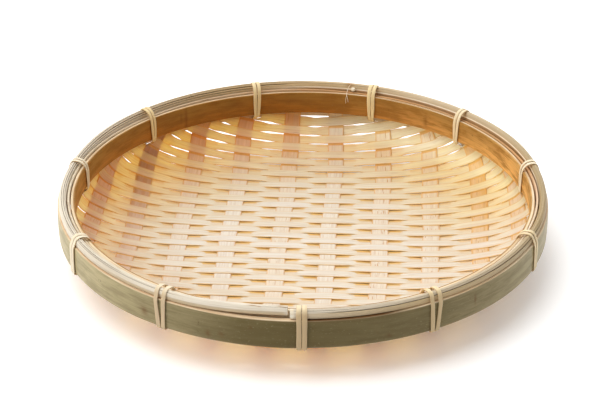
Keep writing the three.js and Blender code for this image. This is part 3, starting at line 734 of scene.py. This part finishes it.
def coverShell(values):
    # dome (cos, sin) with rounded shoulders over a flat foot; splits are pressed in square to the dome
    gap = values["endGap"] / values["outer"] / 2
    turn = np.linspace(gap, 2 * np.pi - gap, values["steps"])
    degrees = np.degrees(turn)[:, None] + values["ends"]
    dome = np.linspace(*values["domeSpan"], values["domePoints"])
    sway = rimWave(turn, values["swayWave"], values["seed"] + 2)
    rise = np.radians(np.clip(dome + sway * np.sin(np.radians(np.clip(dome, 0, 180))), 0, 180))
    power = 2 / values["squareness"]
    cosine = np.sign(np.cos(rise)) * np.abs(np.cos(rise)) ** power
    sine = np.abs(np.sin(rise)) ** power
    split, splitShade = coverCuts(values, dome, degrees)
    swell = 1 + rimWave(turn, values["swellWave"], values["seed"])
    half = (values["outer"] - values["inner"]) / 2
    middle = (values["inner"] + values["outer"]) / 2 + rimWave(turn, values["strayWave"], values["seed"] + 1)
    middle = middle - values["endShift"] * smoothStep(*values["shiftSpan"], degrees)
    halfRise = 0.5 * coverRise(degrees)
    lifted = smoothStep(*values["liftSpan"], degrees) * values["endLift"]
    crown = (values["top"] - values["side"]) * swell + halfRise - split
    foot = np.array(values["foot"])
    footHeight = values["bottom"] + lifted + (values["side"] + halfRise - values["bottom"]) * foot[:, 1]
    radius = np.concatenate([middle + (half * swell - split) * cosine, middle + half * foot[:, 0]], 1)
    height = np.concatenate([values["side"] + halfRise + lifted + crown * sine, footHeight], 1)
    angles = np.broadcast_to(math.radians(values["ends"]) + turn[:, None], radius.shape)
    across = np.concatenate([dome * values["fibreStep"], np.linspace(*values["footFibre"], len(foot))])
    fibre = np.stack(np.broadcast_arrays(angles * rimScale, across, 0.0), -1)
    wholeDome = np.concatenate([dome, np.where(foot[:, 0] < 0, *values["footPlaces"])])
    cutEnd = smoothStep(*values["endCut"], (turn - gap) * values["outer"])[:, None]
    rightSide = between(values["rightSpan"], degrees)
    # on the right the inner side below the cut edge is painted brown, painted shade of the recess between the
    # cover and the filler
    recess = smoothStep(*values["recessEdge"], wholeDome) * rightSide
    innerFoot = wholeDome > values["domeSpan"][1]
    cutEdge = smoothStep(*values["cutEdge"], wholeDome) * np.maximum(rightSide, innerFoot)
    skin = np.maximum(1 - cutEdge, recess) * (1 - cutEnd)
    paintedShade = np.concatenate([splitShade * (1 - cutEnd), np.zeros(footHeight.shape)], 1)
    bearing = np.degrees(angles) % 360
    spots = np.maximum(markMask(values["marks"], bearing, wholeDome), values["recess"] * recess)
    # the lower side of the dome is browner at the front right; at the front left it is browner and darker,
    # painted shade where that side turns under
    frontRight, frontLeft = between(values["frontRight"], bearing), between(values["frontLeft"], bearing)
    low = frontRight * smoothStep(*values["lowRight"], wholeDome)
    low = low + frontLeft * smoothStep(*values["lowLeft"], wholeDome)
    pale = np.interp(bearing, *values["tones"]) + values["rightPale"] * frontRight
    pale = pale - values["leftDark"] * frontLeft * low
    brown = np.interp(bearing, *values["browns"]) + values["lowBrown"] * low
    tone = np.stack(np.broadcast_arrays(pale, brown, spots), -1)
    return {"points": onRim(angles, radius, height), "fibre": fibre, "tone": tone, "skin": skin[..., None],
            "paintedShade": paintedShade[..., None]}


# edge: where the painted contact shadow along a ribbon's edges begins and is full
ribbonShape = dict(points=16, squareness=4, edge=(0.88, 1), fibreStart=3000)


def ribbon(place, path, half, thick, roll, seed):
    # flat oval along a path of radius, height and shift, its width along the rim
    heading = np.gradient(path[:, :2], axis=0)
    heading /= np.linalg.norm(heading, axis=1)[:, None]
    a, b = flatOval(ribbonShape["points"], ribbonShape["squareness"])
    out = b * thick + roll[:, None] * a
    radius = path[:, :1] + out * heading[:, 1:2]
    height = path[:, 1:2] - out * heading[:, :1]
    angle = math.radians(place) + (path[:, 2:3] + a * half[:, None]) / dish["wallRadius"]
    walk = np.concatenate([[0], np.cumsum(np.linalg.norm(np.diff(path, axis=0), axis=1))])[:, None]
    draw = np.random.default_rng(seed)
    start = draw.uniform(0, ribbonShape["fibreStart"])
    fibre = np.stack(np.broadcast_arrays(walk + start, a * half[:, None], b * thick), -1)
    # painted contact shadow darkens the ribbon along both edges
    edge = np.broadcast_to(smoothStep(*ribbonShape["edge"], np.abs(a)), radius.shape)[..., None]
    tone = draw.uniform(0, 1, 3)
    return {"points": onRim(angle, radius, height), "fibre": fibre, "tone": tone, "paintedShade": edge}


def smoothPath(corners, step, size):
    # corners walked evenly and rounded by a moving average
    lengths = np.concatenate([[0], np.cumsum(np.linalg.norm(np.diff(corners, axis=0), axis=1))])
    walk = np.linspace(0, lengths[-1], int(lengths[-1] / step))
    path = np.stack([np.interp(walk, lengths, corners[:, k]) for k in range(3)], -1)
    weights = np.hanning(size + 2)[1:-1]
    padded = np.concatenate([np.repeat(path[:1], size // 2, 0), path, np.repeat(path[-1:], size // 2, 0)])
    return walk, np.stack([np.convolve(padded[:, k], weights / weights.sum(), "valid") for k in range(3)], -1)


# Knot: a pale bud scar on the cover with two loose fibres hanging over the inner hoop
# corners are radius, height and shift; walks are the step and the rounding; tones are paleness and brown

knot = dict(
    place=79.6, bud=[(101.1, 32.4, 0), (100.4, 31.9, 0), (99.9, 30.9, 0)], budHalf=1.05, budThick=0.42,
    budWalk=(0.1, 5), budTone=(0.78, 0.1, 0), budSeed=83, blunt=0.995, fibreHalf=0.1, fibreThick=0.09,
    fibreWalk=(0.15, 9), fibreTone=(0.7, 0.55, 0), fibreSeed=84,
    fibres=[[(101.6, 33.6, 1.2), (100.9, 33, 2), (99.6, 32, 2.4), (98, 30.9, 2.5), (97.2, 29.6, 2.5),
            (97.2, 27.6, 2.9), (97.3, 25.6, 2.8)], [(98, 30.8, 2.5), (97.3, 29.8, 2.4), (97.1, 28.2, 1.9),
            (97.2, 26.3, 1.7)]])


def knotShells(values):
    # the bud is a ribbon swollen to an oval, each fibre a thin even one
    walk, path = smoothPath(np.array(values["bud"]), *values["budWalk"])
    bulge = np.sqrt(1 - values["blunt"] * np.linspace(-1, 1, len(walk)) ** 2)
    half, thick = values["budHalf"] * bulge, values["budThick"] * bulge[:, None]
    bud = ribbon(values["place"], path, half, thick, 0 * walk, values["budSeed"])
    shells = [{**bud, "paintedShade": 0.0, "tone": np.array(values["budTone"])}]
    for corners in values["fibres"]:
        walk, path = smoothPath(np.array(corners), *values["fibreWalk"])
        thin = np.full(len(walk), values["fibreHalf"])
        hair = ribbon(values["place"], path, thin, values["fibreThick"], 0 * walk, values["fibreSeed"])
        shells.append({**hair, "paintedShade": 0.0, "tone": np.array(values["fibreTone"])})
    return shells


coverSkin = culmSkin("coverSkin", coverLook)
putPiece("rim_top", [coverShell(cover)] + knotShells(knot), coverSkin, "rim_cover")


# Filler: thin splint on edge between the inner hoop and the cover

filler = dict(
    inner=99.85, outer=100.8, bottom=26.42, top=30.62, ends=95, endGap=0.15, steps=720, faces=(5, 6),
    rounding=0.3, dip=0.45, dipSpan=(5, 25, 75, 95), frontDip=0.7, topWave=(0.2, 150),
    radiusWave=(0.1, 200), seed=71, lined=0.6,
    shades=([0, 20, 80, 105, 140, 170, 330, 360], [0.5, 0.1, 0.1, 0.5, 0.8, 1, 1, 0.5]))
fillerLook = dict(
    pale=(0.66, 0.29, 0.07), warm=(0.9, 0.79, 0.6), streak=((0.6, 0.42, 0.22), 0.4),
    line=((0.4, 0.25, 0.12), 0.4), dash=((0.25, 0.13, 0.05), 0.8), edge=((0.5, 0.32, 0.16), 0.3),
    honey=((0.6, 0.4, 0.2), 0), lines=2, smooth=0.45, coarse=0.65, gloss=0.35, relief=0.5, glow=0)


def fillerShell(values):
    # thin rounded bar carried round the rim, its top edge a little uneven
    gap = values["endGap"] / values["outer"] / 2
    turn = np.linspace(gap, 2 * np.pi - gap, values["steps"])
    angle = math.radians(values["ends"]) + turn
    across, upward = roundedBar(values["outer"] - values["inner"], values["top"] - values["bottom"],
                                values["rounding"], *values["faces"])
    around = np.degrees(angle)[:, None] % 360
    top = rimWave(turn, values["topWave"], values["seed"])
    top = top - values["dip"] * between(values["dipSpan"], around)
    top = (top - values["frontDip"] * frontShare(around)) * (upward > 0)
    radius = (values["inner"] + values["outer"]) / 2 + across
    radius = radius + rimWave(turn, values["radiusWave"], values["seed"] + 1)
    height = (values["bottom"] + values["top"]) / 2 + upward + top
    angles = np.broadcast_to(angle[:, None], radius.shape)
    fibre = np.stack(np.broadcast_arrays(angles * rimScale, across, upward), -1)
    # brown on the right, painted shade of the recess between the cover and the inner hoop; cream on the left
    shade = np.broadcast_to(np.interp(around, *values["shades"]), radius.shape)
    tone = np.stack(np.broadcast_arrays(shade, values["lined"], 0.0), -1)
    return {"points": onRim(angles, radius, height), "fibre": fibre, "tone": tone}


fillerBamboo = splitBamboo("fillerBamboo", fillerLook)
putPiece("rim_inlay", [fillerShell(filler)], fillerBamboo, "rim_filler")
print("rim cover and filler made")


# Lashings: a thin strip of two turns round the rim, drawn together where it goes through the mat
# spreads, leans, widths, golds and the painted shade of the front lashings: one for each lashing, in the
# order of its places

lashing = dict(
    thickness=0.46, width=1.91, off=0.46, narrow=1.02, footShare=0.78, smoothing=17, step=0.22, seed=5000,
    domeTurns=[10, 30, 50, 70, 90], arcDrop=4, arcSquareness=2.8,
    arcTurns=[15, 25, 35, 45, 55, 65, 75, 85], shoulder=0.3, startIn=1.2, tail=(2.4, 2), leanMiddle=22,
    leanLength=10, widthWave=(0.05, 20), swayWave=(0.06, 25), rollWave=(0.05, 30), footSlim=0.22,
    slimHeight=(26, 20), slimRadius=(100, 98.5), frontShadeHeight=(33, 30), frontShadeRadius=(101, 103),
    spreads=[0.35, 0.1, 0.04, 0.1, 0.1, 0.25, 0.1, 0.75, 0.03, 0.85, 0.35],
    leans=[0.3, -0.2, 0.3, -0.3, 0.2, 0.1, 0.3, -0.4, 0, 0.4, -0.2],
    widths=[0.82, 0.84, 0.98, 0.9, 0.78, 0.76, 0.98, 0.97, 1.02, 0.93, 0.84],
    golds=[0.1, 0.4, 0.8, 0.75, 0.8, 0.05, 0, 0.1, 0.45, 0.6, 0.5],
    frontShades=[0, 0, 0, 0, 0, 0, 0, 1.3, 1.5, 1.2, 0.2])
# edge: colour and share of the painted shade along the lashings' edges and on the front lashings
lashingLook = dict(
    pale=(1, 0.92, 0.72), warm=(0.98, 0.86, 0.63), streak=((0.95, 0.77, 0.47), 0.3),
    line=((0.8, 0.57, 0.29), 0.22), dash=((0.36, 0.2, 0.09), 0.3), edge=((0.56, 0.37, 0.18), 0.5),
    honey=((1, 0.77, 0.32), 0.85), lines=2.4, smooth=0.38, coarse=0.56, gloss=0.42, relief=0.35, glow=0.12,
    wallGlow=0.12, glowTint=(1, 0.88, 0.56))


def lashingPath(values, widthShare, spread, lean, rise):
    # twice round the rim: up the outer hoop, over the cover's dome, down an oval arc to the inner hoop's foot
    off = values["off"]
    outside = outerHoop["outer"] + outerHoop["crown"] + off
    inside = innerHoop["inner"] - innerHoop["crown"] - off
    low, lowInside = outerHoop["bottom"] - off, innerHoop["bottom"] - off
    crownX, crownHalf = (cover["inner"] + cover["outer"]) / 2, (cover["outer"] - cover["inner"]) / 2 + off
    side, top = cover["side"] + 0.5 * rise, cover["top"] + rise + off
    narrow = values["narrow"] * widthShare
    wide, foot = narrow + spread, values["footShare"] * narrow
    dome = [(crownX + crownHalf * math.cos(turn), side + (top - side) * math.sin(turn), wide)
            for turn in np.radians(values["domeTurns"])]
    bend, power = innerHoop["top"] - values["arcDrop"], 2 / values["arcSquareness"]
    arc = [(crownX + (inside - crownX) * math.sin(turn) ** power,
            bend + (top - bend) * math.cos(turn) ** power, wide) for turn in np.radians(values["arcTurns"])]
    once = [(outside, low, narrow), (outside, outerHoop["top"] - values["shoulder"], wide), *dome, *arc,
            (inside, lowInside, foot)]
    before = (outerHoop["inner"] + values["startIn"], low, -narrow)
    under = (outerHoop["inner"], low, narrow)
    after = (inside + values["tail"][0], lowInside - values["tail"][1], narrow)
    corners = np.array([before, *((r, z, -s) for r, z, s in once), under, *once, after])
    corners[:, 2] += lean * (corners[:, 1] - values["leanMiddle"]) / values["leanLength"]
    return smoothPath(corners, values["step"], values["smoothing"])


def lashingShell(values, place, spread, lean, widthShare, gold, tan, seed):
    # slimmer at the inner foot, with painted shade on the outer side of the lashings at the front
    walk, path = lashingPath(values, widthShare, spread, lean, float(coverRise(place)))
    half = values["width"] * widthShare / 2 * (1 + wander(walk, *values["widthWave"], seed))
    foot = smoothStep(*values["slimHeight"], path[:, 1]) * smoothStep(*values["slimRadius"], path[:, 0])
    half *= 1 - values["footSlim"] * foot
    path[:, 2] += wander(walk, *values["swayWave"], seed + 2)
    roll = wander(walk, *values["rollWave"], seed + 1)
    shell = ribbon(place, path, half, values["thickness"] / 2, roll, seed)
    shell["tone"][2] = gold
    # painted shade on the outer side of the front lashings, which get little light
    tan = tan * smoothStep(*values["frontShadeHeight"], path[:, 1]) * smoothStep(*values["frontShadeRadius"], path[:, 0])
    shell["paintedShade"] = np.maximum(shell["paintedShade"], tan[:, None, None])
    return shell


lashingBamboo = splitBamboo("lashingBamboo", lashingLook)
for index, place in enumerate(lashingPlaces):
    own = (lashing[key][index] for key in ("spreads", "leans", "widths", "golds", "frontShades"))
    shell = lashingShell(lashing, place, *own, lashing["seed"] + 10 * index)
    putPiece(f"binding_{index + 1:02d}", [shell], lashingBamboo, f"lashing_{index + 1:02d}")
print("lashings made:", len(lashingPlaces))


# Studio: white floor, soft light from above, behind and the sides
# suns: name, direction towards the light, strength and spread in degrees

studio = dict(
    floorSize=4, floorColour=(0.88, 0.88, 0.88), floorWhite=0.45, shadeCentre=(0.007, -0.002, 0),
    shadeFrom=0.045, shadeTo=0.147, ambientSpan=(-0.8, 0.8), ambientFront=0.04, ambientBack=0.5)
suns = [("keyTop", (-0.34, -0.10, 0.94), 1.70, 45), ("frontSoft", (0.1, -0.75, 0.66), 0.16, 60),
        ("sideLeft", (-0.85, -0.35, 0.39), 1.0, 40), ("sideRight", (0.93, 0.05, 0.36), 0.5, 40),
        ("backSoft", (0.0, 0.80, 0.60), 0.85, 50)]


def seenDirectly(tree):
    # 1 for what the camera sees, also in a reflection or through something clear
    path = addNode(tree, "LightPath").outputs
    clear = sums(tree, "MAXIMUM", path["Is Glossy Ray"], path["Is Transmission Ray"])
    return sums(tree, "MAXIMUM", path["Is Camera Ray"], clear)


def addFloor(values):
    # white to the camera by a little light of its own away from the basket, and open from below
    size = values["floorSize"]
    corners = [(-size, -size, 0), (size, -size, 0), (size, size, 0), (-size, size, 0)]
    mesh = bpy.data.meshes.new("floor")
    mesh.from_pydata(corners, [], [(0, 1, 2, 3)])
    material, tree, shader = startMaterial("whiteFloor")
    tree.nodes.remove(shader)
    matte = addNode(tree, "BsdfDiffuse", {}, {"Color": (*values["floorColour"], 1)}).outputs[0]
    place = addNode(tree, "TexCoord").outputs["Object"]
    away = addNode(tree, "VectorMath", {"operation": "DISTANCE"},
                   {0: place, 1: values["shadeCentre"]}).outputs["Value"]
    # near the basket this light fades, round a point a little off centre, so the floor there darkens: partly
    # real shadow, partly painted shade
    clearOf = ranged(tree, away, values["shadeFrom"], values["shadeTo"], 0.0, values["floorWhite"])
    glow = addNode(tree, "Emission", {}, {"Strength": times(tree, seenDirectly(tree), clearOf)})
    lit = addNode(tree, "AddShader", {}, {0: matte, 1: glow.outputs[0]}).outputs[0]
    back = addNode(tree, "NewGeometry").outputs["Backfacing"]
    clear = addNode(tree, "BsdfTransparent").outputs[0]
    mixed = addNode(tree, "MixShader", {}, {0: back, 1: lit, 2: clear}).outputs[0]
    tree.links.new(mixed, tree.nodes["Material Output"].inputs["Surface"])
    mesh.materials.append(material)
    floor = bpy.data.objects.new("floor", mesh)
    scene.collection.objects.link(floor)


def addSun(name, towards, strength, spread):
    data = bpy.data.lights.new(name, "SUN")
    data.energy = strength
    data.angle = math.radians(spread)
    lamp = bpy.data.objects.new(name, data)
    lamp.rotation_euler = Vector(towards).to_track_quat("Z", "Y").to_euler()
    scene.collection.objects.link(lamp)


def addWorld(values):
    # white where it is seen, and a soft light that is stronger from behind than from the front
    world = bpy.data.worlds.new("studio")
    world.use_nodes = True
    tree = world.node_tree
    heading = addNode(tree, "TexCoord").outputs["Generated"]
    towards = addNode(tree, "SeparateXYZ", {}, {0: heading}).outputs["Y"]
    ambient = ranged(tree, towards, *values["ambientSpan"], values["ambientFront"], values["ambientBack"])
    back = tree.nodes["Background"]
    back.inputs["Color"].default_value = (1, 1, 1, 1)
    tree.links.new(sums(tree, "MAXIMUM", seenDirectly(tree), ambient), back.inputs["Strength"])
    scene.world = world


addFloor(studio)
addWorld(studio)
for lampValues in suns:
    addSun(*lampValues)
scene.view_settings.view_transform = "Standard"
print("studio set")
